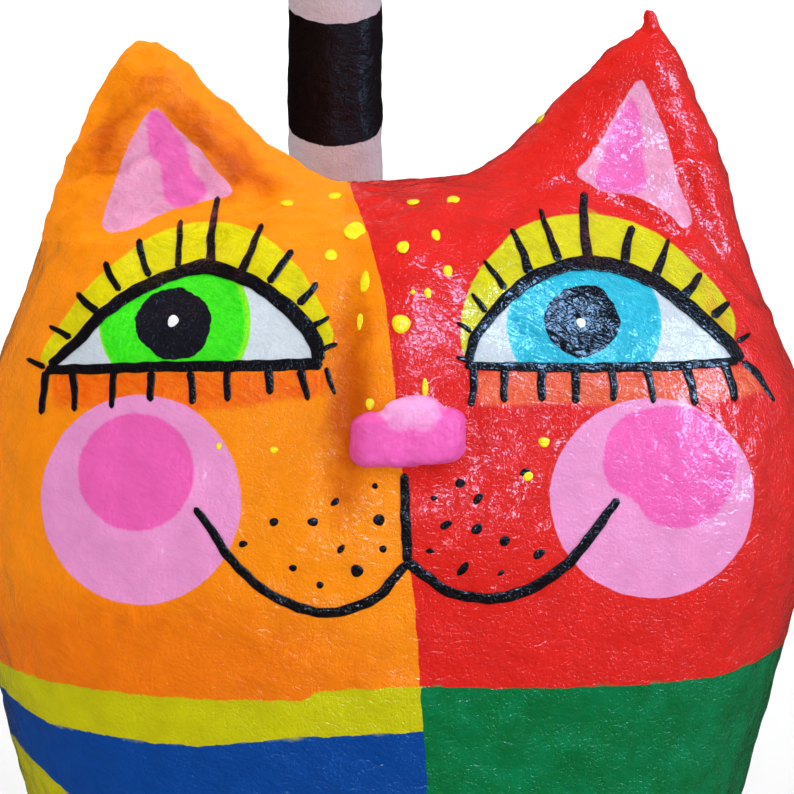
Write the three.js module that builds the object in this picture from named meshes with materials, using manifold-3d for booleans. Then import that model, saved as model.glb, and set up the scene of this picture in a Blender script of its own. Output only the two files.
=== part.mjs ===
// A painted papier-mache cat ornament: head, ears, nose, body, paws and tail papered over into one skin.
// Millimetres, +Z up, the face looks along -Y. The origin is on the flat underside, below the head's middle.

import * as THREE from "three";
import { mergeVertices } from "three/addons/utils/BufferGeometryUtils.js";
import Module from "manifold-3d";

// Driving dimensions
const cheekHalfWidth = 113.5;
const faceHalfDepth = 81;
const cheekHeight = 140; // floor to the widest level
const crownHeight = 230; // floor to the top of the head between the ears
const tailRadius = 14.7;
const tailHeight = 338; // floor to the domed tip

// Widths of the fillets where two paper lumps meet
const earBlend = 10;
const dishBlend = 8;
const bridgeBlend = 10;
const pawBlend = 14;

// The egg of the head and body: how square its plan and its crown are, and how it narrows to the floor
const planPower = 2.3;
const crownPower = 2.5;
const taper = 0.29; // half width lost for each millimetre down, once it runs straight
const taperEase = 29.5; // how gently the taper sets in below the cheeks
const bellySway = -2.6; // how far the belly bulges off the middle, half way down
const footRound = 10; // height of the rounded edge above the floor
const footTuck = 0.06; // share of the half width that the rounded edge pulls in
const underFloor = 15; // the egg runs on below the floor, where it is cut flat

// Each ear is a fat peak. Its slopes are what it gains outwards, inwards and front to back for each
// millimetre below the tip. The ear on -X is blunt, the other is sharp.
const ears = [
  { tip: new THREE.Vector3(-67, 4, 266.5), tipRadius: 6, outer: 0.27, inner: 0.96, thickness: 0.38 },
  { tip: new THREE.Vector3(70, 4, 274), tipRadius: 1.8, outer: 0.33, inner: 1, thickness: 0.42 },
];
const earLean = 0.15; // how far the ear's middle comes forward for each millimetre below the tip
const earFoot = 169; // height at which the ears end, inside the head
const earFootBlend = 60; // width of the rounding there

// The shallow dish pressed into the front of each ear, placed from the ear's tip
const dish = { inward: 6, below: 38, depth: 2.2, radii: new THREE.Vector3(26, 30, 34), lean: 0.6 };

// Lumps on the front. Lean is how far a lump's middle goes back for each millimetre up.
const bridge = { centre: new THREE.Vector3(1, -62, 186), radii: new THREE.Vector3(11, 17, 26), lean: 0.33 };
const paws = [-1, 1].map((side) => ({
  centre: new THREE.Vector3(side * 29, -43, 6),
  radii: new THREE.Vector3(24, 30, 14),
}));

// The nose is a soft block with a dab on its top. Power is how square a lump is: 2 is a ball.
const nose = {
  centre: new THREE.Vector3(3.3, -78, 166.2),
  radii: new THREE.Vector3(14.6, 12.5, 7.3),
  power: 4,
};
const noseDab = {
  centre: new THREE.Vector3(4.6, -82, 172.5),
  radii: new THREE.Vector3(7.8, 8.5, 5),
  power: 2.4,
};
const noseSides = 28;

// The tail's middle line, from inside the rump up behind the head
const tailLine = new THREE.CatmullRomCurve3([
  new THREE.Vector3(-8, 36, 50),
  new THREE.Vector3(-12, 68, 46),
  new THREE.Vector3(-15, 92, 56),
  new THREE.Vector3(-17, 103, 82),
  new THREE.Vector3(-18, 106, 130),
  new THREE.Vector3(-18, 104, 190),
  new THREE.Vector3(-18, 100, 255),
  new THREE.Vector3(-18, 95, tailHeight - tailRadius),
]);
const tailSides = 20;
const tailSteps = 32;

// How finely the skin is cut: a first net over a capsule, then rounds of splitting where it leaves the form
const axisLow = 30; // the skin is found outwards from an upright line between these two heights
const axisHigh = 166;
const around = 44;
const overCap = 10;
const upSide = 14;
const rounds = 3;
const tolerance = 0.4;
const stride = 3;
const precision = 0.01;
const weldWithin = 0.001;

const wasm = await Module();
wasm.setup();

// Each field tells about how many millimetres a point lies outside a form, and is negative inside it.
// Joining two keeps the lower and fills the corner between them. Sharing keeps the higher and rounds it off.
function join(a, b, width) {
  const near = Math.max(width - Math.abs(a - b), 0) / width;
  return Math.min(a, b) - (near * near * width) / 4;
}

function share(a, b, width) {
  return -join(-a, -b, width);
}

// The size of a vector whose sides are added as powers: 2 is a ball, and more is ever squarer.
function norm(power, ...sides) {
  return sides.reduce((sum, side) => sum + Math.abs(side) ** power, 0) ** (1 / power);
}

function lumpField(p, { centre, radii, lean = 0 }) {
  const off = p.clone().sub(centre);
  off.y -= lean * off.z;
  return (off.divide(radii).length() - 1) * Math.min(...radii);
}

function eggField(p) {
  const rise = p.z - cheekHeight;
  const sway = bellySway * Math.max((-4 * rise * p.z) / cheekHeight ** 2, 0);
  const side = norm(planPower, (p.x - sway) / cheekHalfWidth, p.y / faceHalfDepth);
  if (rise > 0) return (norm(crownPower, side, rise / (crownHeight - cheekHeight)) - 1) * faceHalfDepth;
  const narrowed = (taper * (Math.hypot(rise, taperEase) - taperEase)) / cheekHalfWidth;
  const tucked = footTuck * Math.max(1 - p.z / footRound, 0) ** 2;
  return Math.max((side - 1 + narrowed + tucked) * faceHalfDepth, -underFloor - p.z);
}

// How far an ear reaches to one side of its tip, at a distance below that tip.
function earReach(slope, below, { tipRadius }) {
  return Math.sqrt((slope * below) ** 2 + 2 * tipRadius * below);
}

function earField(p, ear) {
  const below = ear.tip.z - p.z;
  if (below <= 0) return p.distanceTo(ear.tip);
  const outer = earReach(ear.outer, below, ear);
  const inner = earReach(ear.inner, below, ear);
  const thickness = earReach(ear.thickness, below, ear);
  const halfWidth = (outer + inner) / 2;
  const across = Math.sign(ear.tip.x) * (p.x - ear.tip.x) - (outer - inner) / 2;
  const forward = p.y - ear.tip.y + earLean * below;
  const ratio = Math.hypot(across / halfWidth, forward / thickness);
  return share((ratio - 1) * Math.min(halfWidth, thickness), earFoot - p.z, earFootBlend);
}

function dishField(p, ear) {
  const front = ear.tip.y - earLean * dish.below - earReach(ear.thickness, dish.below, ear);
  const centre = new THREE.Vector3(
    ear.tip.x - Math.sign(ear.tip.x) * dish.inward,
    front + dish.depth - dish.radii.y,
    ear.tip.z - dish.below,
  );
  return lumpField(p, { ...dish, centre });
}

function catField(p) {
  let field = join(eggField(p), lumpField(p, bridge), bridgeBlend);
  for (const paw of paws) field = join(field, lumpField(p, paw), pawBlend);
  for (const ear of ears) {
    field = join(field, earField(p, ear), earBlend);
    field = share(field, -dishField(p, ear), dishBlend);
  }
  return field;
}

// The skin's point on the straight line that leaves the upright axis through p.
function onSkin(p) {
  const start = new THREE.Vector3(0, 0, THREE.MathUtils.clamp(p.z, axisLow, axisHigh));
  const ray = new THREE.Ray(start, p.clone().sub(start).normalize());
  const field = (distance) => catField(ray.at(distance, new THREE.Vector3()));
  let inside = 0;
  while (field(inside + stride) < 0) inside += stride;
  let outside = inside + stride;
  while (outside - inside > precision) {
    const middle = (inside + outside) / 2;
    if (field(middle) < 0) inside = middle;
    else outside = middle;
  }
  return ray.at(inside, new THREE.Vector3());
}

// Splits each edge whose middle lies off the skin, and puts the new point on the skin.
function refine(points, triangles) {
  const middles = new Map();
  const split = (a, b) => {
    const edge = [a, b].sort((m, n) => m - n).join();
    if (!middles.has(edge)) {
      const straight = points[a].clone().lerp(points[b], 0.5);
      const pushed = onSkin(straight);
      const off = straight.distanceTo(pushed) > tolerance;
      middles.set(edge, off ? [points.push(pushed) - 1] : []);
    }
    return middles.get(edge);
  };
  return triangles.flatMap(([a, b, c]) => {
    const [ab, bc, ca] = [split(a, b), split(b, c), split(c, a)];
    const inner = [...ab, ...bc, ...ca];
    if (inner.length === 3) return [[a, ...ab, ...ca], [...ab, b, ...bc], [...ca, ...bc, c], inner];
    const ring = [a, ...ab, b, ...bc, c, ...ca];
    while (inner.length && !inner.includes(ring[0])) ring.push(ring.shift());
    return ring.slice(2).map((point, i) => [ring[0], ring[i + 1], point]);
  });
}

// Head, body and paws: a capsule's net, pushed out until it meets the form.
function makeSkin() {
  const capsule = new THREE.CapsuleGeometry(faceHalfDepth / 2, axisHigh - axisLow, overCap, around, upSide);
  capsule.rotateX(Math.PI / 2).translate(0, 0, (axisHigh + axisLow) / 2);
  const net = weld(capsule);
  const place = net.getAttribute("position");
  const points = Array.from({ length: place.count }, (_, i) => {
    return onSkin(new THREE.Vector3().fromBufferAttribute(place, i));
  });
  let triangles = Array.from({ length: net.index.count / 3 }, (_, i) => {
    return [...net.index.array.slice(3 * i, 3 * i + 3)];
  });
  for (let round = 0; round < rounds; round += 1) triangles = refine(points, triangles);
  return new THREE.BufferGeometry().setFromPoints(points).setIndex(triangles.flat());
}

// A ball whose points are pushed out until it is as square as its power says.
function makeLump({ centre, radii, power }) {
  const ball = weld(new THREE.SphereGeometry(1, noseSides, noseSides / 2));
  const place = ball.getAttribute("position");
  for (let i = 0; i < place.count; i += 1) {
    const point = new THREE.Vector3().fromBufferAttribute(place, i);
    place.setXYZ(i, ...point.divideScalar(norm(power, ...point)));
  }
  return ball.scale(...radii).translate(...centre);
}

function makeTail() {
  const section = new THREE.Shape().absarc(0, 0, tailRadius, 0, 2 * Math.PI);
  return new THREE.ExtrudeGeometry(section, {
    steps: tailSteps,
    curveSegments: tailSides / 2,
    extrudePath: tailLine,
  });
}

function makeTailTip() {
  const tip = new THREE.SphereGeometry(tailRadius, tailSides, tailSides / 2);
  return tip.rotateX(Math.PI / 2).translate(...tailLine.getPoint(1));
}

function weld(geometry) {
  return mergeVertices(geometry.deleteAttribute("normal").deleteAttribute("uv"), weldWithin);
}

function toSolid(geometry) {
  const net = weld(geometry);
  const vertProperties = new Float32Array(net.getAttribute("position").array);
  const triVerts = new Uint32Array(net.index.array);
  return new wasm.Manifold(new wasm.Mesh({ numProp: 3, vertProperties, triVerts }));
}

function toMesh(name, solid, material) {
  const { vertProperties, triVerts } = solid.getMesh();
  const geometry = new THREE.BufferGeometry();
  geometry.setAttribute("position", new THREE.BufferAttribute(vertProperties, 3));
  geometry.setIndex(new THREE.BufferAttribute(triVerts, 1));
  geometry.computeVertexNormals();
  const mesh = new THREE.Mesh(geometry, material);
  mesh.name = name;
  return mesh;
}

const floorSize = 4 * cheekHalfWidth;
const floor = new THREE.BoxGeometry(floorSize, floorSize, floorSize).translate(0, 0, -floorSize / 2);
const varnishedPaper = new THREE.MeshStandardMaterial({ color: 0xe8731a, roughness: 0.35, metalness: 0 });
const lumps = [makeSkin(), makeLump(nose), makeLump(noseDab), makeTail(), makeTailTip()];
const papered = lumps.map(toSolid).reduce((whole, lump) => whole.add(lump));

const cat = new THREE.Group();
cat.add(toMesh("papier_mache_cat", papered.subtract(toSolid(floor)), varnishedPaper));

export default cat;
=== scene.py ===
# A papier-mache cat ornament: a papered skin under acrylic paint, brushed black lines, drops and varnish.

import bpy
import bmesh
import random
import numpy as np
from math import cos, pi, radians, sin
from mathutils import Matrix, Vector
from mathutils.bvhtree import BVHTree


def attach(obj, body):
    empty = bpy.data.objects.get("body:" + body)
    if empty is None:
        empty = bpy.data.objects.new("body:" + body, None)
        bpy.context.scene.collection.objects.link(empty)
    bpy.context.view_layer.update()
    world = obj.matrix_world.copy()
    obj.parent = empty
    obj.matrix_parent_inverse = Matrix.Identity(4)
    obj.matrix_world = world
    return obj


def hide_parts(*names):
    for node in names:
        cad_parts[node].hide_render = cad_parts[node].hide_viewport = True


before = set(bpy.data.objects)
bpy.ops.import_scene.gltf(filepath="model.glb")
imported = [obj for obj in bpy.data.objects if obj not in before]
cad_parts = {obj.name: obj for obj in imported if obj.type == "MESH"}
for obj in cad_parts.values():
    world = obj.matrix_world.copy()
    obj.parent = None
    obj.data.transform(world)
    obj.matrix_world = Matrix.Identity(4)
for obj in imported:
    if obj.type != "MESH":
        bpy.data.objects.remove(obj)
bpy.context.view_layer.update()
catNode = "papier_mache_cat"
mm = 0.001
tiny = 1e-9
seededRandom = random.Random(7)
print("frame loaded")


# The picture: places on the cat's front are in pixels of the photograph, and its camera puts them on the skin.
picture = {
    "pixels": 794,
    "faceScale": 0.244,  # mm of the face that a pixel covers
    "distance": 700,  # mm from the camera to the face
    "elevation": 5,  # degrees
    "aim": (0.8, -83, 176.5),  # mm, what the middle of the picture shows
    "sensor": 36,  # mm
}
faceScale = picture["faceScale"]
middlePixel = picture["pixels"] / 2
elevation = radians(picture["elevation"])
lookForward = Vector((0, cos(elevation), -sin(elevation)))
lookRight = Vector((1, 0, 0))
lookUp = lookRight.cross(lookForward)
eyePlace = Vector(picture["aim"]) * mm - lookForward * picture["distance"] * mm
pixelsPerRadian = picture["distance"] / faceScale


def smoothLine(corners, steps=8, closed=False):  # a soft line through a few places, by the Catmull-Rom rule
    corners = np.array(corners, float)
    if closed:
        corners = np.vstack((corners[-1], corners, corners[:2]))
    else:
        corners = np.vstack((2 * corners[0] - corners[1], corners, 2 * corners[-1] - corners[-2]))
    line = []
    for p0, p1, p2, p3 in zip(corners, corners[1:], corners[2:], corners[3:]):
        for t in np.arange(steps) / steps:
            bend = 2 * p1 + (p2 - p0) * t + (2 * p0 - 5 * p1 + 4 * p2 - p3) * t ** 2
            line.append((bend + (3 * p1 - p0 - 3 * p2 + p3) * t ** 3) / 2)
    return np.array(line if closed else line + [corners[-2]])


def makeCamera():
    camera = bpy.data.cameras.new("camera")
    camera.sensor_width = picture["sensor"]
    camera.lens = picture["sensor"] * pixelsPerRadian / picture["pixels"]
    camera.clip_start = 0.01
    cameraObject = bpy.data.objects.new("camera", camera)
    cameraObject.location = eyePlace
    cameraObject.rotation_euler = (pi / 2 - elevation, 0, 0)
    bpy.context.scene.collection.objects.link(cameraObject)
    bpy.context.scene.camera = cameraObject


def planOf(points):  # where points in space fall in the picture, in pixels
    away = points - np.array(eyePlace)
    depth = away @ np.array(lookForward)
    across = middlePixel + pixelsPerRadian * (away @ np.array(lookRight)) / depth
    down = middlePixel - pixelsPerRadian * (away @ np.array(lookUp)) / depth
    return np.column_stack((across, down))


def onSkin(x, y):  # the skin's place and normal under a pixel
    ray = lookForward * pixelsPerRadian + lookRight * (x - middlePixel) + lookUp * (middlePixel - y)
    place, normal, _, _ = skinTree.ray_cast(eyePlace, ray.normalized())
    return place, normal


makeCamera()
print("camera placed")


# The skin: a finer copy of the solid, whose flat facets are melted away before it gets its paper lumps.
skin = {
    "voxel": 1.68, "doubles": 0.01,  # mm
    "meltRounds": 24, "meltFactor": 0.5,
    # mm, kept crisp while the rest melts, by these shares
    "noseMiddle": (3.3, -86, 168), "noseReach": (20, 16, 14), "noseCrisp": 0.9,
    "earTips": ((-67, 4, 266), (70, 4, 273)), "tipReach": 22, "tipCrisp": 0.8,
    "fade": 1.5,  # how steeply crispness ends
    "lumps": ((12, 3.9), (5.5, 1.7)),  # mm, size and height of torn paper and of pulp under the paint
    "lumpShare": 0.42, "earShares": (0.8, 0.25),  # of that height, all over, then more on either ear
    "noseSpared": 0.6, "tailSpared": 0.2,
    "earsFrom": 200, "earsFade": 30, "earsBack": 60, "tailFront": 84, "floorFade": 8,  # mm
}
# The pinched tip of the right ear, in mm. The ear under it is lowered by "drop".
nub = {"place": (69.9, 4, 270.8), "radius": 2.1, "height": 4, "top": 274.5, "lean": -0.5, "drop": 1.8,
       "reach": 14, "fade": 8, "foot": -4, "finerWithin": (9, 5), "power": 4, "least": 0.2}
# The nose: a block of pulp with a dab on top, over the solid's own, which is tucked in under it.
nose = {
    "solid": (((3.3, -78, 166.2), (14.6, 12.5, 7.3), 4), ((4.6, -82, 172.5), (7.8, 8.5, 5), 2.4)),  # mm
    "tucked": (((3.3, -77, 166.3), (13.2, 11.6, 5.9), 4), ((4.6, -80, 172), (6.4, 7.6, 3.6), 2.4)),
    "made": (((3.4, -77.5, 166.4), (14.1, 12.3, 6.8), 4.4), ((4.7, -81.4, 172.2), (7.6, 9, 4.3), 2.4)),
    "middle": (3.6, -78, 167.6),  # all of the nose can be seen from here
    "blend": 0.9, "lean": 0.06,  # its right end stands a little higher
    "back": -70, "tuckReach": 2.6, "tuckFade": 2, "tuckRounds": 4, "step": 0.01, "leastSlope": 0.2,
    "facets": 6, "farthest": 25.0, "halvings": 24,
    "lumpSize": 4.5, "lumpHeight": 1.5,
    "dabMargin": 0.5, "shadeRight": -8.5,  # mm; shadeRight bounds the painted shade on the nose's left end
}
# Hollows pressed into the ears, and swellings: middle and radii in pixels, depth in mm, below 0 for a swelling.
hollows = (((150, 128), (34, 44), 1.8), ((640, 128), (44, 58), 2), ((335, 535), (70, 52), -1.5),
           ((485, 530), (70, 56), -1.7))
# The left ear leans in towards a ledge at its foot: places in pixels, the rest in pixels and mm.
earLean = {"foot": ((95, 215), (275, 187)), "top": 52, "return": 30, "sides": (80, 281), "fade": 24,
           "depth": 4.6}
wideEar = {"middle": (705, 160), "radii": (36, 85), "width": 1.4}  # the right ear's outer edge, in pixels and mm
dip = {"middle": -6, "halfWidth": 22, "depth": 2.2, "above": 190, "back": 70}  # mm, the saddle between the ears
pressing = {"facing": 2.5, "back": 9}  # only what looks forward is pressed, in front of this place in mm
# A crease falls off in a bell shape, with a low lip beside it, at a distance counted in half widths.
creaseShape = {"steepness": 2.5, "lip": 0.35, "lipAt": 1.3, "lipSteepness": 3}
# Creases where the paper sheets fold: places in pixels, then depth and half width in mm.
creases = (
    (((58, 176), (84, 165), (118, 156), (146, 138)), 1.3, 4),
    (((196, 168), (230, 190), (262, 190), (300, 182)), 1.2, 4),
    (((112, 92), (150, 100), (186, 92)), 0.9, 6),
    (((112, 104), (128, 92), (150, 84), (172, 88)), 0.6, 1.8),
    (((182, 98), (200, 106), (216, 120), (232, 124)), 0.9, 1.8),
    (((176, 126), (198, 134), (216, 148), (236, 172)), 0.7, 1.8),
    (((70, 172), (94, 160), (122, 148)), 0.8, 1.8),
    (((190, 196), (168, 186), (150, 190), (120, 206)), 0.6, 1.8),
    (((686, 176), (696, 214), (720, 250), (766, 300)), 2, 3.2),
    (((505, 214), (545, 190), (574, 184), (620, 203), (676, 236)), 1.0, 3),
    (((352, 250), (350, 320), (346, 400)), 0.9, 4),
)


def linkedObject(name, mesh):
    piece = bpy.data.objects.new(name, mesh)
    bpy.context.scene.collection.objects.link(piece)
    return piece


def pieceFrom(name, solid):
    mesh = bpy.data.meshes.new(name)
    solid.to_mesh(mesh)
    solid.free()
    return linkedObject(name, mesh)


def applyModifiers(piece):
    depsgraph = bpy.context.evaluated_depsgraph_get()
    mesh = bpy.data.meshes.new_from_object(piece.evaluated_get(depsgraph))
    piece.modifiers.clear()
    piece.data = mesh


def pointsOf(piece, kind="co"):
    points = np.zeros(3 * len(piece.data.vertices))
    piece.data.vertices.foreach_get(kind, points)
    return points.reshape(-1, 3)


def movePoints(piece, points):
    piece.data.vertices.foreach_set("co", points.ravel())
    piece.data.update()


def addLumps(piece, name, size, height, group=""):
    clouds = bpy.data.textures.new(name, "CLOUDS")
    clouds.noise_scale = size * mm
    lumps = piece.modifiers.new(name, "DISPLACE")
    lumps.texture = clouds
    lumps.strength = height * mm
    lumps.mid_level = 0.5
    lumps.vertex_group = group


def fadeFrom(points, middle, reach):  # 1 at a place and 0 beyond its reach, in mm
    off = np.linalg.norm((points / mm - np.array(middle)) / np.array(reach), axis=1)
    return np.clip(skin["fade"] * (1 - off), 0, 1)


def lumpReach(points, middle, radii, power=2):  # mm outside a soft-cornered lump
    off = np.abs((points - np.array(middle)) / np.array(radii))
    return ((off ** power).sum(axis=1) ** (1 / power) - 1) * min(radii)


def noseReach(points, lumps):
    points = points - np.outer(points[:, 0] - nose["middle"][0], (0, 0, nose["lean"]))
    block, dab = (lumpReach(points, *lump) for lump in nose[lumps])
    blend = np.maximum(nose["blend"] - np.abs(block - dab), 0)
    return np.minimum(block, dab) - blend ** 2 / nose["blend"] / 4


def tuckNose(cat):
    points = pointsOf(cat) / mm
    share = np.clip((nose["tuckReach"] - noseReach(points, "solid")) / nose["tuckFade"], 0, 1)
    share *= points[:, 1] < nose["back"]
    for _ in range(nose["tuckRounds"]):
        reach = noseReach(points, "tucked")
        slope = np.column_stack([noseReach(points + step, "tucked") - reach for step in np.eye(3) * nose["step"]])
        slope /= nose["step"]
        pull = np.where(reach > 0, share * reach, 0) / np.maximum((slope ** 2).sum(axis=1), nose["leastSlope"])
        points -= slope * pull[:, None]
    movePoints(cat, points * mm)


def raiseNub(cat):  # finer facets at the tip of the right ear, pinched up into a nub
    solid = bmesh.new()
    solid.from_mesh(cat.data)
    middle = Vector(nub["place"])
    for reach in nub["finerWithin"]:
        near = [edge for edge in solid.edges
                if all((vert.co / mm - middle).length < reach for vert in edge.verts)]
        bmesh.ops.subdivide_edges(solid, edges=near, cuts=1, use_grid_fill=True)
    for vert in solid.verts:
        off = vert.co / mm - middle
        if off.length < nub["reach"]:
            away = off.xy.length
            vert.co.z -= nub["drop"] * mm * min(1, (nub["reach"] - off.length) / nub["fade"])
            if off.z > nub["foot"]:
                raised = vert.co.z / mm + nub["height"] * np.exp(-(away / nub["radius"]) ** nub["power"])
                vert.co.z = min(raised, nub["top"]) * mm
            up = (vert.co.z / mm - middle.z) / (nub["top"] - middle.z)
            if up > 0 and away < nub["radius"]:
                widened = nub["radius"] * np.sqrt(max(1 - up ** nub["power"], 0)) / max(away, nub["least"])
                vert.co.x = (middle.x + off.x * max(widened, 1) + nub["lean"] * up) * mm
                vert.co.y = (middle.y + off.y * max(widened, 1)) * mm
    solid.to_mesh(cat.data)
    solid.free()


def nearLine(spots, line):  # how far spots lie from a line of straight parts
    nearest = np.full(len(spots), np.inf)
    for start, end in zip(line, line[1:]):
        side = np.subtract(end, start)
        share = np.clip(((spots - start) @ side) / max(side @ side, tiny), 0, 1)
        nearest = np.minimum(nearest, np.linalg.norm(spots - start - share[:, None] * side, axis=1))
    return nearest


def leftEarLean(plan):  # how deep the left ear is pressed in, in mm
    (x0, y0), (x1, y1) = earLean["foot"]
    foot = y0 + (y1 - y0) * np.clip((plan[:, 0] - x0) / (x1 - x0), 0, 1)
    lean = np.clip((plan[:, 1] - earLean["top"]) / (foot - earLean["top"]), 0, 1)
    lean *= np.clip((foot + earLean["return"] - plan[:, 1]) / earLean["return"], 0, 1)
    toSides = np.minimum(plan[:, 0] - earLean["sides"][0], earLean["sides"][1] - plan[:, 0])
    return earLean["depth"] * lean * np.clip(toSides / earLean["fade"], 0, 1)


def pressSkin(cat):
    points = pointsOf(cat)
    normals = pointsOf(cat, "normal")
    plan = planOf(points)
    front = np.clip(-pressing["facing"] * normals[:, 1], 0, 1) * (points[:, 1] < pressing["back"] * mm)
    pressed = np.zeros(len(points))
    for line, depth, halfWidth in creases:
        away = nearLine(plan, smoothLine(line)) * faceScale / halfWidth
        fold = np.exp(-away ** 2 * creaseShape["steepness"])
        lip = np.exp(-(away - creaseShape["lipAt"]) ** 2 * creaseShape["lipSteepness"])
        pressed += depth * (fold - creaseShape["lip"] * lip)
    pressed += leftEarLean(plan)
    for middle, radii, depth in hollows:
        pressed += depth * np.exp(-(((plan - middle) / radii) ** 2).sum(axis=1))
    saddle = np.exp(-((points[:, 0] / mm - dip["middle"]) / dip["halfWidth"]) ** 2)
    onCrown = (points[:, 1] < dip["back"] * mm) & (points[:, 2] > dip["above"] * mm)
    onCrown = onCrown * np.clip(normals[:, 2], 0, 1)
    points[:, 2] -= dip["depth"] * mm * saddle * onCrown
    outward = np.exp(-(((plan - wideEar["middle"]) / wideEar["radii"]) ** 2).sum(axis=1))
    points[:, 0] += wideEar["width"] * mm * outward
    movePoints(cat, points - normals * (front * pressed * mm)[:, None])


def weighPoints(piece, name, weights):
    group = piece.vertex_groups.new(name=name)
    for index, weight in enumerate(weights):
        group.add([index], float(weight), "REPLACE")


def makeSkin():
    cat = linkedObject("painted_cat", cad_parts[catNode].data.copy())
    solid = bmesh.new()
    solid.from_mesh(cat.data)
    bmesh.ops.remove_doubles(solid, verts=solid.verts, dist=skin["doubles"] * mm)
    solid.to_mesh(cat.data)
    solid.free()
    remesh = cat.modifiers.new("papered", "REMESH")
    remesh.mode = "VOXEL"
    remesh.voxel_size = skin["voxel"] * mm
    remesh.use_smooth_shade = True
    applyModifiers(cat)

    points = pointsOf(cat)
    crisp = skin["noseCrisp"] * fadeFrom(points, skin["noseMiddle"], skin["noseReach"])
    for tip in skin["earTips"]:
        crisp = np.maximum(crisp, skin["tipCrisp"] * fadeFrom(points, tip, skin["tipReach"]))
    weighPoints(cat, "melted", 1 - crisp)
    melt = cat.modifiers.new("melted", "SMOOTH")
    melt.factor = skin["meltFactor"]
    melt.iterations = skin["meltRounds"]
    melt.vertex_group = "melted"
    applyModifiers(cat)
    pressSkin(cat)
    tuckNose(cat)
    raiseNub(cat)

    points = pointsOf(cat)
    x, y, z = (points / mm).T
    offFloor = np.clip(z / skin["floorFade"], 0, 1)
    onEars = np.clip((z - skin["earsFrom"]) / skin["earsFade"], 0, 1) * (y < skin["earsBack"])
    offNose = 1 - skin["noseSpared"] * fadeFrom(points, skin["noseMiddle"], skin["noseReach"])
    offTail = 1 - skin["tailSpared"] * (y > skin["tailFront"])
    share = skin["lumpShare"] + np.where(x < 0, *skin["earShares"]) * onEars
    weighPoints(cat, "lumpy", offFloor * offNose * share * offTail)
    for size, height in skin["lumps"]:
        addLumps(cat, "paper", size, height, "lumpy")
    applyModifiers(cat)
    cat.data.shade_smooth()
    return cat


cat = makeSkin()
skinTree = BVHTree.FromObject(cat, bpy.context.evaluated_depsgraph_get())
print("skin made:", len(cat.data.polygons), "faces")


# Painted shapes. Each becomes an attribute on the skin: how far a point lies outside the shape, in mm.
points = pointsOf(cat) / mm
plan = planOf(points * mm)


def oval(middle, radii):
    reach = np.linalg.norm((plan - middle) / np.array(radii), axis=1)
    return (reach - 1) * min(radii) * faceScale


def outline(corners):
    corners = np.vstack((corners, corners[:1]))
    nearest = nearLine(plan, corners)
    inside = np.zeros(len(plan), bool)
    for start, end in zip(corners, corners[1:]):
        side = end - start
        spans = (start[1] > plan[:, 1]) != (end[1] > plan[:, 1])
        before = (plan[:, 0] - start[0]) * side[1] < (plan[:, 1] - start[1]) * side[0]
        inside ^= spans & (before ^ (side[1] < 0))
    return np.where(inside, -nearest, nearest) * faceScale


def heightAcross(pixels):  # the height of a line round the cat, from where it crosses the front
    places = sorted(tuple(onSkin(*pixel)[0] / mm) for pixel in pixels)
    return np.interp(points[:, 0], [p[0] for p in places], [p[2] for p in places])


def sideUp(pixels):  # the sideways place of a line that runs up the cat
    places = sorted(tuple(onSkin(*pixel)[0] / mm)[::-1] for pixel in pixels)
    return np.interp(points[:, 2], [p[0] for p in places], [p[2] for p in places])


blocks = {
    "halves": ((350, 186), (370, 240), (385, 300), (395, 390), (403, 480), (408, 560), (415, 600), (420, 690),
               (428, 794)),
    "beltTop": ((4, 664), (33, 677), (102, 690), (163, 697), (255, 700), (303, 701), (319, 692), (400, 687),
                (422, 687), (624, 686), (713, 677), (751, 664), (772, 652)),
    "blueTop": ((4, 688), (25, 708), (51, 724), (97, 733), (153, 743), (199, 746), (255, 742), (306, 737),
                (400, 733), (424, 731)),
    "blueFoot": ((13, 735), (38, 765), (69, 794), (140, 850), (240, 895), (424, 920)),
}
paintedOrangeShade = {  # darker orange painted as shade: the underside of the bridge, the rim of the left ear and the cheek's lower part
    "bridge": ((350, 405), (22, 92)),
    "earRim": ((86, 148), (94, 116), (108, 88), (122, 62), (140, 52), (156, 62), (172, 86), (206, 116), (240, 150),
               (282, 186), (232, 190), (190, 140), (155, 102), (140, 104), (118, 146), (102, 176)),
    "low": ((130, 705), (250, 112)),
}
overlap = 1.5  # mm that the left bands run on under the right half
# Strokes of a second coat: how far in mm they keep from the edge, and how far out they lie, so that only some show.
secondCoat = {"belt": (1, 0.5), "green": (1, 0.75), "lid": (0.9, 0.45)}


def coatAgain(distance, kind):
    inset, outside = secondCoat[kind]
    return np.maximum(distance + inset, outside)


rightHalf = sideUp(blocks["halves"]) - points[:, 0]
leftHalf = -rightHalf - overlap
belt = points[:, 2] - heightAcross(blocks["beltTop"])
shapes = {
    "redHalf": rightHalf,
    "yellowBelt": np.maximum(belt, leftHalf),
    "greenFoot": np.maximum(belt, rightHalf),
    "blueWave": np.maximum.reduce((points[:, 2] - heightAcross(blocks["blueTop"]),
                                   heightAcross(blocks["blueFoot"]) - points[:, 2], leftHalf)),
}
shapes["beltStrokes"] = coatAgain(np.maximum(shapes["yellowBelt"], -shapes["blueWave"]), "belt")
shapes["greenStrokes"] = coatAgain(shapes["greenFoot"], "green")
allRound = list(shapes)  # the rest stays on the front
# Painted shade: darker orange where the bridge, the left ear and the low left of the face lie in shade.
shapes["paintedShadeDeepOrange"] = np.minimum(oval(*paintedOrangeShade["bridge"]), outline(paintedOrangeShade["earRim"]))
shapes["paintedShadeLowOrange"] = oval(*paintedOrangeShade["low"])

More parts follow.
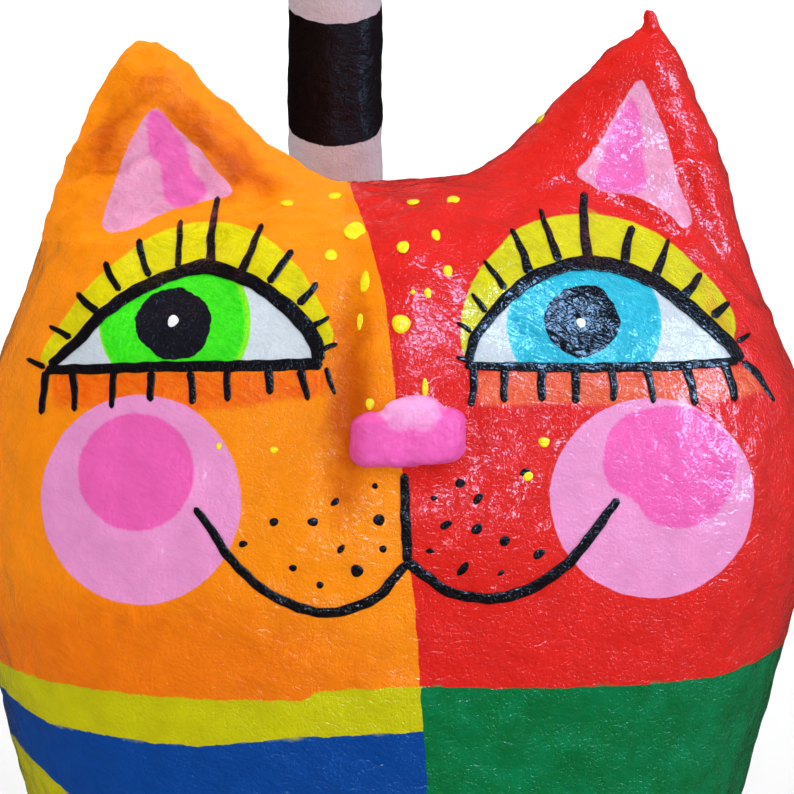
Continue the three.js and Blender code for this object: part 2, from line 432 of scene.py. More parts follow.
ears = {
    "leftPink": ((153, 107), (134, 134), (121, 166), (110, 195), (102, 222), (111, 233), (134, 228), (166, 212),
                 (198, 202), (229, 195), (230, 186), (217, 172), (203, 153), (174, 127), (162, 112)),
    "leftRose": ((149, 112), (161, 111), (171, 125), (187, 148), (192, 171), (206, 185), (203, 198), (180, 208),
                 (166, 200), (162, 182), (159, 163), (150, 154), (147, 125)),
    "rightPink": ((641, 80), (650, 96), (660, 117), (670, 146), (679, 183), (692, 216), (690, 225), (681, 228),
                  (668, 214), (640, 198), (621, 194), (602, 192), (589, 184), (577, 173), (590, 156), (605, 134),
                  (619, 107), (632, 88)),
    "rightRose": ((631, 97), (637, 104), (641, 123), (644, 162), (644, 191), (602, 191), (595, 178), (603, 156),
                  (610, 130), (621, 113)),
}
for part in ("Pink", "Rose"):
    shapes["ear" + part] = np.minimum(*(outline(smoothLine(ears[side + part], 4, closed=True))
                                        for side in ("left", "right")))

cheeks = {
    "light": (((141, 500), (100, 105)), ((652, 498), (102, 100))),
    "leftDark": ((136, 472), (58, 59)),
    "rightDark": ((602, 462), (614, 425), (652, 407), (702, 412), (731, 440), (736, 472), (722, 508), (690, 527),
                  (655, 524), (634, 500), (612, 488)),
}
shapes["cheekLight"] = np.minimum(*(oval(*cheek) for cheek in cheeks["light"]))
shapes["cheekRose"] = np.minimum(oval(*cheeks["leftDark"]),
                                 outline(smoothLine(cheeks["rightDark"], closed=True)))

leftEye = {
    "arch": ((50, 366), (78, 341), (102, 315), (130, 295), (153, 283), (179, 273), (205, 267), (238, 276),
             (265, 290), (290, 310), (307, 328), (316, 345), (320, 362)),
    "archWidths": (8, 10, 11, 12, 12, 11, 15, 13, 13, 15, 15, 14, 12),
    "foot": ((46, 370), (101, 369), (156, 367), (250, 366), (322, 364)),
    "footWidths": (8, 9, 9, 10, 11),
    "lid": ((40, 360), (46, 344), (60, 324), (76, 302), (89, 286), (105, 270), (125, 255), (145, 240),
            (167, 230), (192, 223), (214, 222), (237, 225), (257, 232), (275, 244), (290, 259), (304, 275),
            (317, 297), (327, 317), (333, 335), (330, 346)),
    "rim": ((175, 322), (76, 76)), "iris": ((173, 322), (72, 74)), "pupil": ((174, 323), (37.5, 36.5)),
    "glint": ((173, 321), 6),
    "under": ((52, 374), (326, 371), (325, 395), (250, 406), (200, 411), (54, 407)),
    "lashes": (
        ((45, 368), (27, 359), 4, 3), ((71, 338), (50, 326), 6, 2), ((98, 312), (77, 293), 7, 4),
        ((120, 291), (105, 262), 5, 5), ((149, 277), (139, 239), 5, 5), ((178, 268), (181, 220), 5, 4),
        ((211, 265), (218, 197), 9, 4), ((241, 273), (262, 224), 8, 4), ((269, 283), (292, 250), 7, 5),
        ((298, 304), (317, 283), 7, 4), ((313, 326), (329, 317), 5, 2), ((322, 350), (337, 344), 3, 3),
        ((46, 371), (41, 414), 7, 5), ((72, 371), (75, 411), 7, 4), ((114, 371), (112, 408), 6, 4),
        ((152, 372), (150, 401), 7, 5), ((190, 372), (192, 404), 6, 5), ((227, 371), (228, 401), 6, 5),
        ((268, 370), (270, 394), 8, 5), ((300, 370), (308, 400), 8, 3), ((326, 368), (335, 394), 4, 2)),
}
rightEye = {
    "arch": ((468, 363), (475, 338), (492, 315), (512, 294), (534, 278), (562, 267), (589, 263), (612, 266),
             (635, 273), (661, 286), (688, 307), (713, 329), (733, 349), (741, 361)),
    "archWidths": (8, 9, 10, 12, 13, 12, 15, 14, 14, 14, 14, 13, 12, 9),
    "foot": ((465, 366), (520, 367), (578, 368), (632, 367), (678, 366), (738, 361)),
    "footWidths": (6, 8, 8, 8, 8, 7),
    "lid": ((463, 353), (461, 340), (461, 324), (464, 306), (471, 286), (484, 264), (498, 248), (513, 232),
            (533, 222), (556, 216), (582, 214), (600, 215), (622, 219), (645, 227), (667, 240), (685, 255),
            (703, 273), (719, 290), (732, 310), (736, 326), (734, 337)),
    "rim": ((584, 324), (77, 77)), "iris": ((585, 325), (75, 76)), "pupil": ((582, 321), (37.5, 36)),
    "glint": ((581, 323), 5),
    "under": ((477, 371), (752, 368), (763, 391), (735, 399), (640, 405), (478, 405)),
    "lashes": (
        ((486, 312), (472, 294), 5, 2), ((505, 289), (484, 261), 6, 2), ((529, 274), (511, 229), 9, 3),
        ((559, 261), (540, 209), 8, 3), ((588, 259), (584, 192), 10, 6), ((625, 263), (632, 226), 9, 6),
        ((655, 276), (668, 239), 10, 2), ((683, 297), (701, 273), 10, 4), ((712, 317), (729, 302), 10, 3),
        ((737, 342), (750, 334), 5, 2), ((471, 332), (457, 323), 3, 1.5), ((468, 361), (457, 357), 4, 2),
        ((473, 368), (471, 406), 7, 5), ((505, 369), (504, 402), 7, 5), ((542, 369), (542, 401), 8, 6),
        ((575, 369), (576, 403), 8, 6), ((611, 369), (613, 401), 7, 5), ((646, 368), (653, 403), 7, 4),
        ((685, 367), (695, 405), 9, 5), ((724, 364), (735, 401), 8, 6)),
}
for side, eye in (("left", leftEye), ("right", rightEye)):
    eyeHole = outline(np.vstack((smoothLine(eye["arch"]), eye["foot"][::-1])))
    lid = outline(np.vstack((smoothLine(eye["lid"]), eye["arch"][::-1])))
    shapes[side + "Under"] = outline(eye["under"])
    shapes[side + "Lid"] = lid
    shapes[side + "White"] = eyeHole
    shapes[side + "Rim"] = np.maximum(oval(*eye["rim"]), eyeHole)
    shapes[side + "Iris"] = np.maximum(oval(*eye["iris"]), eyeHole)
    shapes[side + "Pupil"] = oval(*eye["pupil"])
    shapes[side + "LidStrokes"] = coatAgain(lid, "lid")
lidStain = {"oval": ((722, 314), (17, 36)), "inset": 2.5}
shapes["lidStain"] = np.maximum(oval(*lidStain["oval"]), shapes["rightLid"] + lidStain["inset"])
backs = {"ear": 1, "face": -9}  # mm, how far back the paint of the front reaches
for name in shapes:
    if name not in allRound:
        back = backs["ear" if name.startswith("ear") else "face"]
        shapes[name] = np.maximum(shapes[name], points[:, 1] - back)

paws = {"apart": 29, "place": (-43, 6), "radii": (25, 31, 15), "back": -48}  # mm
paw = np.minimum(*(lumpReach(points, (side * paws["apart"], *paws["place"]), paws["radii"]) for side in (-1, 1)))
paw = np.maximum(paw, points[:, 1] - paws["back"])
shapes["leftPaw"] = np.maximum(paw, points[:, 0])
shapes["rightPaw"] = np.maximum(paw, -points[:, 0])

tail = {
    "line": ((-8, 36, 50), (-12, 68, 46), (-15, 92, 56), (-17, 103, 82), (-18, 106, 130), (-18, 104, 190),
             (-18, 100, 255), (-18, 95, 338)),
    "radius": 14.7, "spare": 2.2, "front": 50, "ringWidth": 36.3,
    "blackFrom": 281,  # mm up, where a black ring's top edge crosses the tail's side
    "droop": 0.45,  # how far the rings hang down at the front, as a slope
    "uprightPlaces": 5,  # the last places of the line, where the tail stands
    "droopFrom": 60, "droopFade": 40,  # mm up
}
farOut = {"tail": 40, "most": 60}  # mm outside a shape, where nothing is near it


def tailShapes():
    line = smoothLine(tail["line"], steps=12)
    travel = np.concatenate(([0], np.cumsum(np.linalg.norm(np.diff(line, axis=0), axis=1))))
    nearest = np.full(len(points), np.inf)
    along = np.zeros(len(points))
    for start, end, first in zip(line, line[1:], travel):
        side = end - start
        share = np.clip(((points - start) @ side) / (side @ side), 0, 1)
        away = np.linalg.norm(points - start - share[:, None] * side, axis=1)
        closer = away < nearest
        nearest = np.where(closer, away, nearest)
        along = np.where(closer, first + share * np.linalg.norm(side), along)
    onTail = np.where(points[:, 1] > tail["front"], nearest - tail["radius"] - tail["spare"], farOut["tail"])
    topTravel = travel[-1] - (tail["line"][-1][2] - tail["blackFrom"])
    upright = np.clip((points[:, 2] - tail["droopFrom"]) / tail["droopFade"], 0, 1)
    _, middleY, middleZ = zip(*tail["line"][-tail["uprightPlaces"]:])
    fromMiddle = points[:, 1] - np.interp(points[:, 2], middleZ, middleY)
    rings = topTravel - along + tail["droop"] * upright * fromMiddle
    wave = np.abs((rings / tail["ringWidth"] + 1.5) % 2 - 1) - 0.5  # a zigzag, below 0 within the black rings
    shapes["shadedTailWhite"] = onTail
    shapes["tailBlack"] = np.maximum(onTail, -wave * tail["ringWidth"])


def storeShapes(piece, shapes):
    for name, distances in shapes.items():
        values = np.clip(distances, -farOut["most"], farOut["most"])
        piece.data.attributes.new(name, "FLOAT", "POINT").data.foreach_set("value", values)


tailShapes()
storeShapes(cat, shapes)
print("painted shapes laid out:", len(shapes))


# Materials
def linearColour(hexColour):
    channels = [int(hexColour[i:i + 2], 16) / 255 for i in (1, 3, 5)]
    return tuple(c / 12.92 if c <= 0.04045 else ((c + 0.055) / 1.055) ** 2.4 for c in channels) + (1,)


def addNode(tree, kind, sockets, **settings):
    node = tree.nodes.new(kind)
    for name, value in settings.items():
        setattr(node, name, value)
    for name, value in sockets.items():
        if isinstance(value, bpy.types.NodeSocket):
            tree.links.new(value, node.inputs[name])
        else:
            node.inputs[name].default_value = value
    return node


def mapRange(tree, value, low, high, start=0, end=1, bend="LINEAR"):
    return addNode(tree, "ShaderNodeMapRange", {
        "Value": value, "From Min": low, "From Max": high, "To Min": start, "To Max": end,
    }, interpolation_type=bend).outputs[0]


def mathNode(tree, operation, *values):
    return addNode(tree, "ShaderNodeMath", dict(enumerate(values)), operation=operation).outputs[0]


def mixColours(tree, share, first, second):
    return addNode(tree, "ShaderNodeMix", {0: share, 6: first, 7: second}, data_type="RGBA").outputs[2]


def noiseNode(tree, place, size, detail):  # size in mm
    sockets = {"Vector": place, "Scale": 1 / (size * mm), "Detail": detail}
    return addNode(tree, "ShaderNodeTexNoise", sockets).outputs


def newMaterial(name):
    material = bpy.data.materials.new(name)
    material.use_nodes = True
    tree = material.node_tree
    tree.nodes.clear()
    shader = tree.nodes.new("ShaderNodeBsdfPrincipled")
    addNode(tree, "ShaderNodeOutputMaterial", {"Surface": shader.outputs[0]})
    return material, tree, shader


# Matt acrylic brushed by hand on paper pulp, under gloss varnish: strong flat colours with faint streaks,
# wavering edges, and broken highlights where the varnish runs over lumps and bristle marks.
paint = {
    "layers": (
        # shape, colour, streak colour, then in mm: waver, streaking and softness of the edge
        # painted shade: these two darker oranges stand in for shade on the low left, the bridge and the left ear
        ("paintedShadeLowOrange", "#ee7a08", "#f48409", 5, 2, 8),
        ("paintedShadeDeepOrange", "#cf6103", "#d56704", 3, 1, 3),
        ("redHalf", "#e22c22", "#da251d", 0.5, 0, 0.1),
        ("yellowBelt", "#c4be04", "#cac40a", 0.6, 0.3, 0.15),
        ("blueWave", "#034a98", "#0650a0", 0.6, 0.2, 0.12),
        ("beltStrokes", "#ccc802", "#d0cc04", 2.2, 0.5, 1.2),
        ("greenFoot", "#03733b", "#047c44", 0.5, 0.1, 0.1),
        ("greenStrokes", "#028a58", "#038c5c", 2.4, 0.5, 1.4),
        ("leftPaw", "#f58a10", "#ffa221", 0.5, 0, 0.1),
        ("rightPaw", "#e02a22", "#c91f1c", 0.5, 0, 0.1),
        ("leftUnder", "#f1660a", "#f98216", 1.2, 0.3, 0.8),
        ("rightUnder", "#e4562c", "#ee7a58", 1.2, 0.3, 0.7),
        ("leftLid", "#e0d200", "#e8dc08", 0.3, 0.1, 0.2),
        ("rightLid", "#d2cb00", "#dcd60a", 0.3, 0.1, 0.2),
        ("leftLidStrokes", "#d0c400", "#d4c802", 1.6, 0.8, 0.7),
        ("rightLidStrokes", "#c4bb00", "#ccc404", 1.6, 1.2, 0.7),
        ("lidStain", "#d9a226", "#dcb02c", 1.2, 0.8, 2),
        ("earPink", "#e294b8", "#e8a6c8", 0.5, 0.1, 0.15),
        ("earRose", "#e868b4", "#ec78be", 0.4, 0.2, 0.5),
        ("cheekLight", "#ea97cc", "#ec9ed1", 0.3, 0.1, 0.12),
        ("cheekRose", "#ed66b6", "#f06ebb", 0.4, 0.15, 0.35),
        ("leftWhite", "#cad4de", "#d4dce4", 0.2, 0, 0.1),
        ("rightWhite", "#c6d2e0", "#d0dae6", 0.2, 0, 0.1),
        ("leftRim", "#9aee22", "#7ae82a", 0.3, 0.1, 0.15),
        ("leftIris", "#38dc18", "#52ea2c", 0.3, 0.3, 0.4),
        ("rightRim", "#4cc8e0", "#66d6ea", 0.3, 0.1, 0.15),
        ("rightIris", "#22a8cc", "#3cc4de", 0.3, 0.3, 0.5),
        ("leftPupil", "#1c1a22", "#24222c", 1.2, 0, 0.1),
        ("rightPupil", "#0e0c14", "#16141c", 1.2, 0, 0.1),
        # the tail's white paint is coloured grey-mauve: painted shade, with a painted reflection of the orange body
        ("shadedTailWhite", "#b9b0bb", "#c4bcc6", 0.4, 0, 0.1),
        ("tailBlack", "#170b0c", "#1e1214", 0.5, 0.2, 0.12),
    ),
    "ground": ("#fb9208", "#fd970e"),
}
brushwork = {
    "waverSize": 7,  # mm
    "swing": 2.5,  # how far the noises are spread to fill the waver and streaking above
    "streaks": (0.3, 0.7), "thickStreaks": (0.35, 0.7),  # the noise from one colour of a paint to the other
    "patches": (0.25, 0.75), "patchTones": (0.9, 1.05),  # the noise from darker to lighter paint
    "roughness": 0.6, "specular": 0.1,
}
# The varnish is thick on most of the skin, thinner on the nose and dull on the tail. It is rubbed thin on the left
# ear's front, where dents in the pulp show more. paintShare is how much of the relief the paint itself shows.
varnishes = {
    "gloss": {"weight": 1, "roughness": 0.05, "pulp": 1.1, "paintShare": 0.6},
    "satin": {"weight": 0.3, "roughness": 0.22, "pulp": 0.6, "paintShare": 0.6},
    "dull": {"weight": 0.2, "roughness": 0.3, "pulp": 1.8, "paintShare": 0.9},
    "thin": {"weight": 0.12, "roughness": 0.35, "pulp": 3, "paintShare": 0.8},
}
# The relief under the varnish, in mm: pulp, brush strokes that slope down in some places and stand upright in
# others, folds of paper, and small pits that break the shine up.
relief = {
    "swaySize": 9, "swayBy": 4, "uprightNoise": (0.46, 0.6),
    "pulpSize": 4.5, "pulpDepth": 0.42,
    "strokeWidth": 0.85, "strokeLength": 4, "strokeDepth": 0.17, "strokeTurn": 27,  # degrees
    "foldSize": 3.8, "foldLength": 2, "foldEdge": 0.1, "foldDepth": 0.06,
    "pitSize": 0.85, "pitFrom": 0.47, "pitTo": 0.62, "pitDepth": -0.22,
}


def paperRelief(tree, kind):  # gives the normals of paint and varnish, the place, and two patterns of the relief
    place = addNode(tree, "ShaderNodeTexCoord", {}).outputs["Object"]
    sway = noiseNode(tree, place, relief["swaySize"], 2)
    swayed = addNode(tree, "ShaderNodeVectorMath", {0: sway["Color"], 1: (relief["swayBy"] * mm,) * 3, 2: place},
                     operation="MULTIPLY_ADD").outputs[0]
    drawn = relief["strokeLength"] / relief["strokeWidth"]
    brushed = []
    for turn, stretch in ((radians(relief["strokeTurn"]), (drawn, drawn, 1)), (0, (1, 1, drawn))):
        along = addNode(tree, "ShaderNodeMapping", {"Vector": swayed, "Rotation": (0, turn, 0), "Scale": stretch},
                        vector_type="TEXTURE")
        brushed.append(noiseNode(tree, along.outputs[0], relief["strokeWidth"], 1)["Fac"])
    upright = mapRange(tree, sway["Fac"], *relief["uprightNoise"])
    strokes = addNode(tree, "ShaderNodeMix", {0: upright, 2: brushed[0], 3: brushed[1]}).outputs[0]
    longer = addNode(tree, "ShaderNodeVectorMath", {0: swayed, 1: (1 / relief["foldLength"],) * 2 + (1,)},
                     operation="MULTIPLY").outputs[0]
    cells = addNode(tree, "ShaderNodeTexVoronoi", {"Vector": longer, "Scale": 1 / (relief["foldSize"] * mm)},
                    feature="DISTANCE_TO_EDGE")
    folds = mapRange(tree, cells.outputs["Distance"], 0, relief["foldEdge"], bend="SMOOTHSTEP")
    pulp = noiseNode(tree, place, relief["pulpSize"], 1)["Fac"]
    grain = noiseNode(tree, place, relief["pitSize"], 1)["Fac"]
    pits = mapRange(tree, grain, relief["pitFrom"], relief["pitTo"], bend="SMOOTHSTEP")
    pitted = mathNode(tree, "MULTIPLY", pits, sway["Fac"])
    height = 0.0
    for source, depth in ((pulp, relief["pulpDepth"] * varnishes[kind]["pulp"]), (strokes, relief["strokeDepth"]),
                          (folds, relief["foldDepth"]), (pitted, relief["pitDepth"])):
        height = mathNode(tree, "MULTIPLY_ADD", source, depth, height)
    bumped = addNode(tree, "ShaderNodeBump", {"Height": height, "Distance": mm}).outputs[0]
    smooth = tree.nodes.new("ShaderNodeNewGeometry").outputs["Normal"]
    softened = addNode(tree, "ShaderNodeMix", {0: varnishes[kind]["paintShare"], 4: smooth, 5: bumped},
                       data_type="VECTOR")
    return (softened.outputs[1], bumped), place, strokes, sway["Fac"]


def varnish(tree, shader, normals, kind="gloss"):  # a clear coat that carries all the shine
    for normal, socket in zip(normals, ("Normal", "Coat Normal")):
        tree.links.new(normal, shader.inputs[socket])
    shader.inputs["Roughness"].default_value = brushwork["roughness"]
    shader.inputs["Specular IOR Level"].default_value = brushwork["specular"]
    shader.inputs["Coat Weight"].default_value = varnishes[kind]["weight"]
    shader.inputs["Coat Roughness"].default_value = varnishes[kind]["roughness"]


def varnishedAcrylic(name, paints, kind="gloss"):
    material, tree, shader = newMaterial(name)
    normals, place, strokes, sway = paperRelief(tree, kind)
    waver = noiseNode(tree, place, brushwork["waverSize"], 3)["Fac"]
    wavering, streaking = (mathNode(tree, "SUBTRACT", noise, 0.5) for noise in (waver, strokes))
    streakShare = mapRange(tree, strokes, *brushwork["streaks"])
    colour = mixColours(tree, streakShare, *map(linearColour, paints["ground"]))
    for layer, main, streak, waverBy, streakBy, softness in paints["layers"]:
        distance = addNode(tree, "ShaderNodeAttribute", {}, attribute_name=layer).outputs["Fac"]
        wavered = mathNode(tree, "MULTIPLY_ADD", wavering, waverBy * brushwork["swing"], distance)
        streaked = mathNode(tree, "MULTIPLY_ADD", streaking, streakBy * brushwork["swing"], wavered)
        covered = mapRange(tree, streaked, -softness, softness, 1, 0)
        tone = mixColours(tree, streakShare, linearColour(main), linearColour(streak))
        colour = mixColours(tree, covered, colour, tone)
    patches = mapRange(tree, sway, *brushwork["patches"], *brushwork["patchTones"])
    shaded = addNode(tree, "ShaderNodeVectorMath", {0: colour, "Scale": patches}, operation="SCALE")
    tree.links.new(shaded.outputs[0], shader.inputs["Base Color"])
    varnish(tree, shader, normals, kind)
    return material


# Thick acrylic straight from the brush or the bottle: one colour, glossy, over the same relief.
def thickAcrylic(name, colour, streakColour):
    material, tree, shader = newMaterial(name)
    normals, _, strokes, _ = paperRelief(tree, "gloss")
    share = mapRange(tree, strokes, *brushwork["thickStreaks"])
    tone = mixColours(tree, share, linearColour(colour), linearColour(streakColour))
    tree.links.new(tone, shader.inputs["Base Color"])
    varnish(tree, shader, normals)
    return material


skinCoats = {"gloss": "varnished_acrylic_on_papier_mache", "thin": "thinly_varnished_acrylic",
             "dull": "dull_acrylic"}
thinVarnish = {"right": -12, "bottom": 212, "back": 6}  # mm, the front of the left ear
cat.data.materials.clear()
for kind, name in skinCoats.items():
    cat.data.materials.append(varnishedAcrylic(name, paint, kind))
for face in cat.data.polygons:
    x, y, z = face.center / mm
    onEar = x < thinVarnish["right"] and z > thinVarnish["bottom"] and y < thinVarnish["back"]
    kind = "dull" if y > skin["tailFront"] else "thin" if onEar else "gloss"
    face.material_index = list(skinCoats).index(kind)
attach(cat, "root")
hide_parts(catNode)
print("skin painted")


nosePaint = {
    "ground": ("#ea62b6", "#ef70bf"),
    # painted shade: the nose's left end is a darker, redder pink, with a painted reflection of the orange face
    "layers": (("paintedNoseShade", "#dc4f8c", "#e0589a", 1, 0.5, 3), ("dab", "#f3a4da", "#f6b2e2", 1, 0.4, 0.5)),
}


def makeNose():
    ball = bmesh.new()
    bmesh.ops.create_icosphere(ball, subdivisions=nose["facets"], radius=1)
    rays = np.array([vert.co for vert in ball.verts])
    near = np.zeros(len(rays))
    far = np.full(len(rays), nose["farthest"])
    for _ in range(nose["halvings"]):  # halves the stretch in which each ray leaves the nose
        middle = (near + far) / 2
        inside = noseReach(np.array(nose["middle"]) + rays * middle[:, None], "made") < 0
        near = np.where(inside, middle, near)
        far = np.where(inside, far, middle)
    for vert, ray, reach in zip(ball.verts, rays, near):
        vert.co = (np.array(nose["middle"]) + ray * reach) * mm
    piece = pieceFrom("pink_nose", ball)
    addLumps(piece, "pulp", nose["lumpSize"], nose["lumpHeight"])
    applyModifiers(piece)
    piece.data.shade_smooth()
    points = pointsOf(piece) / mm
    dab = lumpReach(points, *nose["made"][1])
    storeShapes(piece, {"dab": dab - nose["dabMargin"], "paintedNoseShade": points[:, 0] - nose["shadeRight"]})
    piece.data.materials.append(varnishedAcrylic("varnished_pink_acrylic_on_pulp", nosePaint, "satin"))
    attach(piece, "root")


makeNose()
print("nose laid on")


# Brushed lines: each is a strip laid on the skin along a few places, thick in the middle and sunk at its edges.
lines = {
    "step": 2.5, "fewest": 5, "across": 6,  # pixels between rows of a strip, and counts of its facets
    "thickness": 0.11, "domePower": 9, "endSteepness": 2.5,  # mm of paint on the skin, flat up to its rim
    "sunk": 0.03, "strip": 0.3,  # mm: how far the edges reach into the skin, and the strip's own thickness
    # how far a stroke's middle strays and over what length, in pixels, with its share of the phase; then its edge
    "strays": ((0.25, 7, 1), (0.15, 2.9, 2)), "edgeStray": (0.3, 3.7),
    "sag": 0.05, "dotHeight": 0.3,  # of a lash's length, and mm
    "mouth": (
        (((404, 474), (405, 500), (406, 530), (408, 562)), (7, 8, 9, 8)),
        (((409, 562), (400, 571), (378, 596), (352, 608), (324, 613), (296, 606), (270, 594), (245, 574),
          (224, 550), (211, 529), (195, 508)), (5, 8, 9, 9, 8, 9, 8, 8, 8, 7, 5)),
        (((406, 560), (414, 567), (427, 577), (450, 592), (481, 598), (509, 596), (537, 585), (562, 568),
          (580, 550), (598, 526), (618, 499)), (8, 10, 9, 9, 9, 10, 10, 10, 9, 9, 6)),
    ),
    "outerLash": (((742, 361), (757, 374), (775, 402)), (7, 8, 3)),
    # pixel place, radius, how drawn out, and turn
    "leftDots": ((375, 486, 3, 1, 0), (335, 502, 4, 1.3, 0.7), (379, 520, 6, 1, 0), (313, 522, 5, 1.1, 0),
                 (274, 522, 4.5, 1.1, 0.4), (243, 544, 4, 1.2, 0.3), (341, 549, 4, 1.3, 0.9), (383, 549, 3.8, 1, 0),
                 (293, 568, 3.8, 1.1, 0), (357, 571, 6.5, 1, 0), (320, 585, 3.8, 1, 0)),
    "rightDots": ((460, 483, 5, 1.05, 0), (434, 498, 3, 1.2, 0), (478, 499, 5, 1.35, 0.9), (525, 472, 4.5, 1.3, 0.4),
                  (446, 525, 5, 1.35, 0.5), (477, 529, 5.5, 1.15, 0.7), (505, 541, 5.5, 1.1, 0.6),
                  (539, 554, 5.5, 1.25, 0.6), (430, 551, 3.3, 1.3, 0), (463, 569, 6, 1.5, 0.9),
                  (501, 573, 3, 1.4, 0.6)),
}


def brushLine(paintMesh, places, widths):
    path = smoothLine(places)
    widths = np.interp(np.linspace(0, 1, len(path)), np.linspace(0, 1, len(widths)), widths)
    travel = np.concatenate(([0], np.cumsum(np.linalg.norm(np.diff(path, axis=0), axis=1))))
    rows = max(lines["fewest"], round(travel[-1] / lines["step"]))
    strip = bmesh.ops.create_grid(paintMesh, x_segments=rows, y_segments=lines["across"], size=1)["verts"]
    phase = seededRandom.uniform(0, 6)
    edgeStray, edgeLength = lines["edgeStray"]
    for vert in strip:
        along = (vert.co.x + 1) / 2 * travel[-1]
        behind, place, ahead = (np.array([np.interp(spot, travel, path[:, i]) for i in (0, 1)])
                                for spot in (max(along - 1, 0), along, min(along + 1, travel[-1])))
        heading = (ahead - behind) / np.linalg.norm(ahead - behind)
        width = np.interp(along, travel, widths)
        fromEnd = min(along, travel[-1] - along) / (width / 2)
        rounded = np.sqrt(max(1 - (1 - min(fromEnd, 1)) ** 2, 0.0))
        stray = sum(far * sin(along / length + times * phase) for far, length, times in lines["strays"])
        side = sin(vert.co.y * pi / 2)  # the outer rows crowd to the edge, which stays steep
        halfWidth = width / 2 + edgeStray * sin(along / edgeLength + side + phase)
        pixel = place + (side * halfWidth * rounded + stray) * np.array((-heading[1], heading[0]))
        spot, normal = onSkin(*pixel)
        dome = (1 - abs(side) ** lines["domePower"]) * min(1, lines["endSteepness"] * rounded)
        vert.co = spot + normal * (lines["thickness"] * dome - lines["sunk"] * (1 - dome)) * mm


dots = {"facets": 3, "bulge": 0.05, "bulges": 3, "slantLimit": 2.5}


def brushDot(paintMesh, x, y, radii, height, turn=0):
    spot, normal = onSkin(x, y)
    across = (lookRight - normal * normal.dot(lookRight)).normalized()
    lay = Matrix((across, normal.cross(across), normal)).transposed().to_4x4()
    slant = min(dots["slantLimit"], 1 / abs(normal.dot(lookForward)))  # so that slopes don't flatten a dot
    size = Matrix.Diagonal((radii[0] * faceScale * mm, radii[1] * slant * faceScale * mm, height * mm, 1))
    dot = bmesh.ops.create_icosphere(paintMesh, subdivisions=dots["facets"], radius=1)["verts"]
    phase = seededRandom.uniform(0, 6)
    for vert in dot:
        vert.co.xy *= 1 + dots["bulge"] * sin(dots["bulges"] * np.arctan2(vert.co.y, vert.co.x) + phase)
    laid = Matrix.Translation(spot) @ lay @ Matrix.Rotation(turn, 4, "Z") @ size
    bmesh.ops.transform(paintMesh, matrix=laid, verts=dot)


def finishPaint(name, paintMesh, material):
    for face in paintMesh.faces:
        face.smooth = True
    piece = pieceFrom(name, paintMesh)
    piece.data.materials.append(material)
    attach(piece, "root")


def makeBlackLines():
    black = bmesh.new()
    for eye in (leftEye, rightEye):
        brushLine(black, eye["arch"], eye["archWidths"])
        brushLine(black, eye["foot"], eye["footWidths"])
        for start, end, startWidth, endWidth in eye["lashes"]:
            sag = seededRandom.uniform(-lines["sag"], lines["sag"])
            sag = sag * np.array((start[1] - end[1], end[0] - start[0]))
            middle = (np.array(start) + end) / 2 + sag
            brushLine(black, (start, middle, end), (startWidth, (startWidth + endWidth) / 2, endWidth))
    for places, widths in (*lines["mouth"], lines["outerLash"]):
        brushLine(black, places, widths)
    bmesh.ops.solidify(black, geom=black.faces[:], thickness=lines["strip"] * mm)
    bmesh.ops.recalc_face_normals(black, faces=black.faces[:])
    for x, y, radius, longer, turn in (*lines["leftDots"], *lines["rightDots"]):
        brushDot(black, x, y, (radius * longer, radius / longer), lines["dotHeight"], turn)
    finishPaint("black_lines", black, thickAcrylic("thick_black_acrylic", "#120e12", "#1d181c"))


drops = {
    "yellow": (  # pixel place, half width and half height
        (331, 255, 6.5, 6), (355, 231, 11.5, 10), (365, 283, 6, 10), (360, 322, 4, 7), (403, 247, 6.5, 6.5),
        (436, 235, 5, 6), (448, 271, 5, 6), (428, 293, 4, 5), (413, 292, 2.5, 2.5), (425, 388, 3.5, 9),
        (370, 404, 4.5, 6), (287, 203, 7, 4), (334, 196, 8, 4), (413, 202, 7, 4.5), (453, 200, 7, 5),
        (540, 119, 7, 7), (219, 446, 3, 3.5), (274, 450, 4, 3.5), (544, 442, 6, 5), (528, 476, 5, 5)),
    "bead": (401, 324, 9.5, 9.5),
    "height": 0.45, "beadHeight": 1.35, "glintHeight": 0.4,  # mm
}


def makeDrops():
    yellow = bmesh.new()
    for x, y, halfWidth, halfHeight in drops["yellow"]:
        brushDot(yellow, x, y, (halfWidth, halfHeight), drops["height"])
    brushDot(yellow, *drops["bead"][:2], drops["bead"][2:], drops["beadHeight"])
    finishPaint("yellow_drops", yellow, thickAcrylic("thick_yellow_acrylic", "#f4de0a", "#fbf03a"))
    white = bmesh.new()
    for eye in (leftEye, rightEye):
        (x, y), radius = eye["glint"]
        brushDot(white, x, y, (radius, radius), drops["glintHeight"])
    finishPaint("white_glints", white, thickAcrylic("thick_white_acrylic", "#f2f4f6", "#ffffff"))


makeBlackLines()
makeDrops()
print("lines, dots and drops laid on")


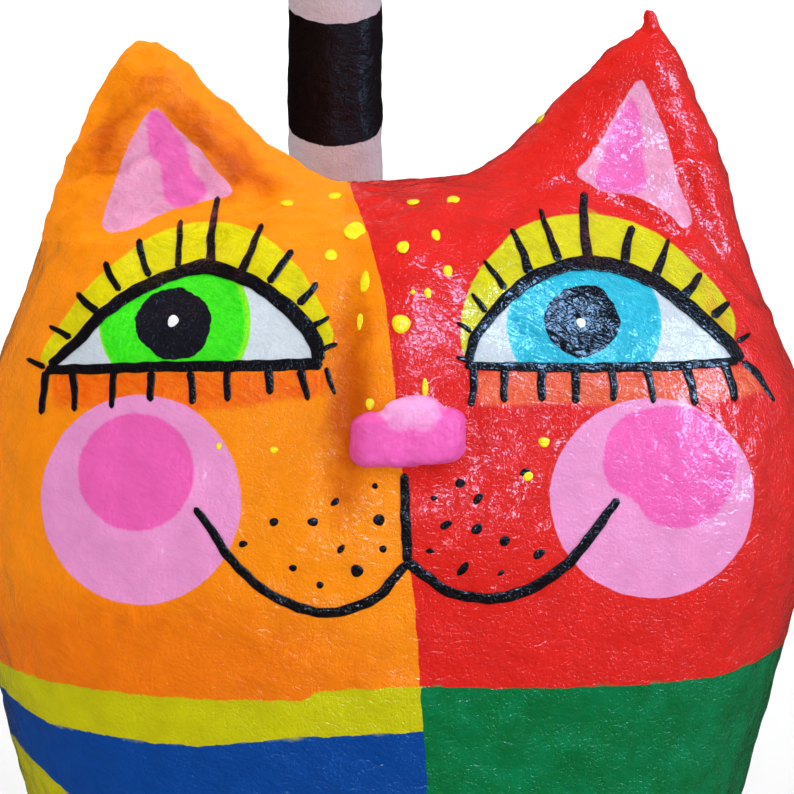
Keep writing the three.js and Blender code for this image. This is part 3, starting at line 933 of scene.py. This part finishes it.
# Stage: a pale floor and backdrop under soft studio light.
studio = {
    "floorHalf": 4, "backdropBehind": 1.6, "floor": "#d4d4d4", "backdrop": "#f6f6f6", "roughness": 0.85,  # metres
    "aim": (0, 0, 0.17), "backdropAim": (0, 1.6, 0.2),  # metres, what the lamps point at
    "glowFrom": 0.7, "glowTo": 2, "glow": 0.75,  # painted light: the floor glows more away from the cat, where the lamps light it less, and fades into the white
    "world": 0.17, "shine": 0.04, "air": 0.95,  # how bright the empty room lights, mirrors and looks
    # name, place in metres, width and height in metres, radiance against white paper, colour, part of the shine
    "lamps": (
        ("window", (0.85, -0.9, 1.62), 0.5, 1, 16, (0.36, 0.62, 1), True),
        ("side_window", (1.35, -0.35, 0.6), 0.4, 0.9, 15, (0.4, 0.65, 1), True),
        ("far_window", (0.3, -1.35, 0.3), 0.2, 0.36, 16, (0.45, 0.7, 1), True),
        ("doorway", (-0.16, -1.35, 0.02), 0.14, 0.3, 7, (0.8, 0.9, 1), True),
        ("key", (0.3, -1.5, 1.25), 2.0, 1.4, 1.75, (1, 1, 1), False),
        ("fill", (-1.5, -1.15, 0.45), 1.6, 1.6, 1.1, (1, 1, 1), False),
        ("side_fill", (1.5, -0.8, 0.45), 1.2, 1.2, 1.75, (1, 1, 1), False),
        ("backdrop", (0, 0.7, 2.2), 3, 1, 5, (1, 1, 1), False),
    ),
}


def plainSheet(name, halfSize, lay):
    sheet = bmesh.new()
    bmesh.ops.create_grid(sheet, x_segments=1, y_segments=1, size=halfSize, matrix=lay)
    piece = pieceFrom(name, sheet)
    piece.visible_glossy = False
    return piece


def makeStage():
    half = studio["floorHalf"]
    floor = plainSheet("floor", half, Matrix.Identity(4))
    upright = Matrix.Translation((0, studio["backdropBehind"], 0)) @ Matrix.Rotation(pi / 2, 4, "X")
    backdrop = plainSheet("backdrop", half, upright)
    for sheet in (floor, backdrop):
        material, tree, shader = newMaterial("pale_" + sheet.name)
        shader.inputs["Base Color"].default_value = linearColour(studio[sheet.name])
        shader.inputs["Roughness"].default_value = studio["roughness"]
        sheet.data.materials.append(material)
        if sheet == floor:
            # Painted light: the floor's glow rises with distance from the cat and stands in for lamp light out
            # there.
            place = addNode(tree, "ShaderNodeTexCoord", {}).outputs["Object"]
            away = addNode(tree, "ShaderNodeVectorMath", {0: place}, operation="LENGTH").outputs["Value"]
            glow = mapRange(tree, away, studio["glowFrom"], studio["glowTo"], 0, studio["glow"], "SMOOTHSTEP")
            tree.links.new(glow, shader.inputs["Emission Strength"])


def makeLights():
    world = bpy.data.worlds.new("studio")
    world.use_nodes = True
    tree = world.node_tree
    ray = addNode(tree, "ShaderNodeLightPath", {}).outputs
    unseen = mapRange(tree, ray["Is Glossy Ray"], 0, 1, studio["world"], studio["shine"])
    strength = mapRange(tree, ray["Is Camera Ray"], 0, 1, unseen, studio["air"])
    tree.links.new(strength, tree.nodes["Background"].inputs["Strength"])
    tree.nodes["Background"].inputs["Color"].default_value = (1, 1, 1, 1)
    bpy.context.scene.world = world
    for name, place, width, height, radiance, colour, shine in studio["lamps"]:
        lamp = bpy.data.lights.new(name, "AREA")
        lamp.shape = "RECTANGLE"
        lamp.size = width
        lamp.size_y = height
        lamp.energy = radiance * pi * width * height
        lamp.color = colour
        lampObject = bpy.data.objects.new(name, lamp)
        lampObject.location = place
        target = Vector(studio["backdropAim" if name == "backdrop" else "aim"])
        lampObject.rotation_euler = (target - Vector(place)).to_track_quat("-Z", "Y").to_euler()
        lampObject.visible_glossy = shine
        lampObject.visible_diffuse = not shine
        lampObject.visible_camera = False
        bpy.context.scene.collection.objects.link(lampObject)
    bpy.context.scene.view_settings.view_transform = "Standard"
    bpy.context.scene.view_settings.look = "Medium High Contrast"


makeStage()
makeLights()
print("stage lit")
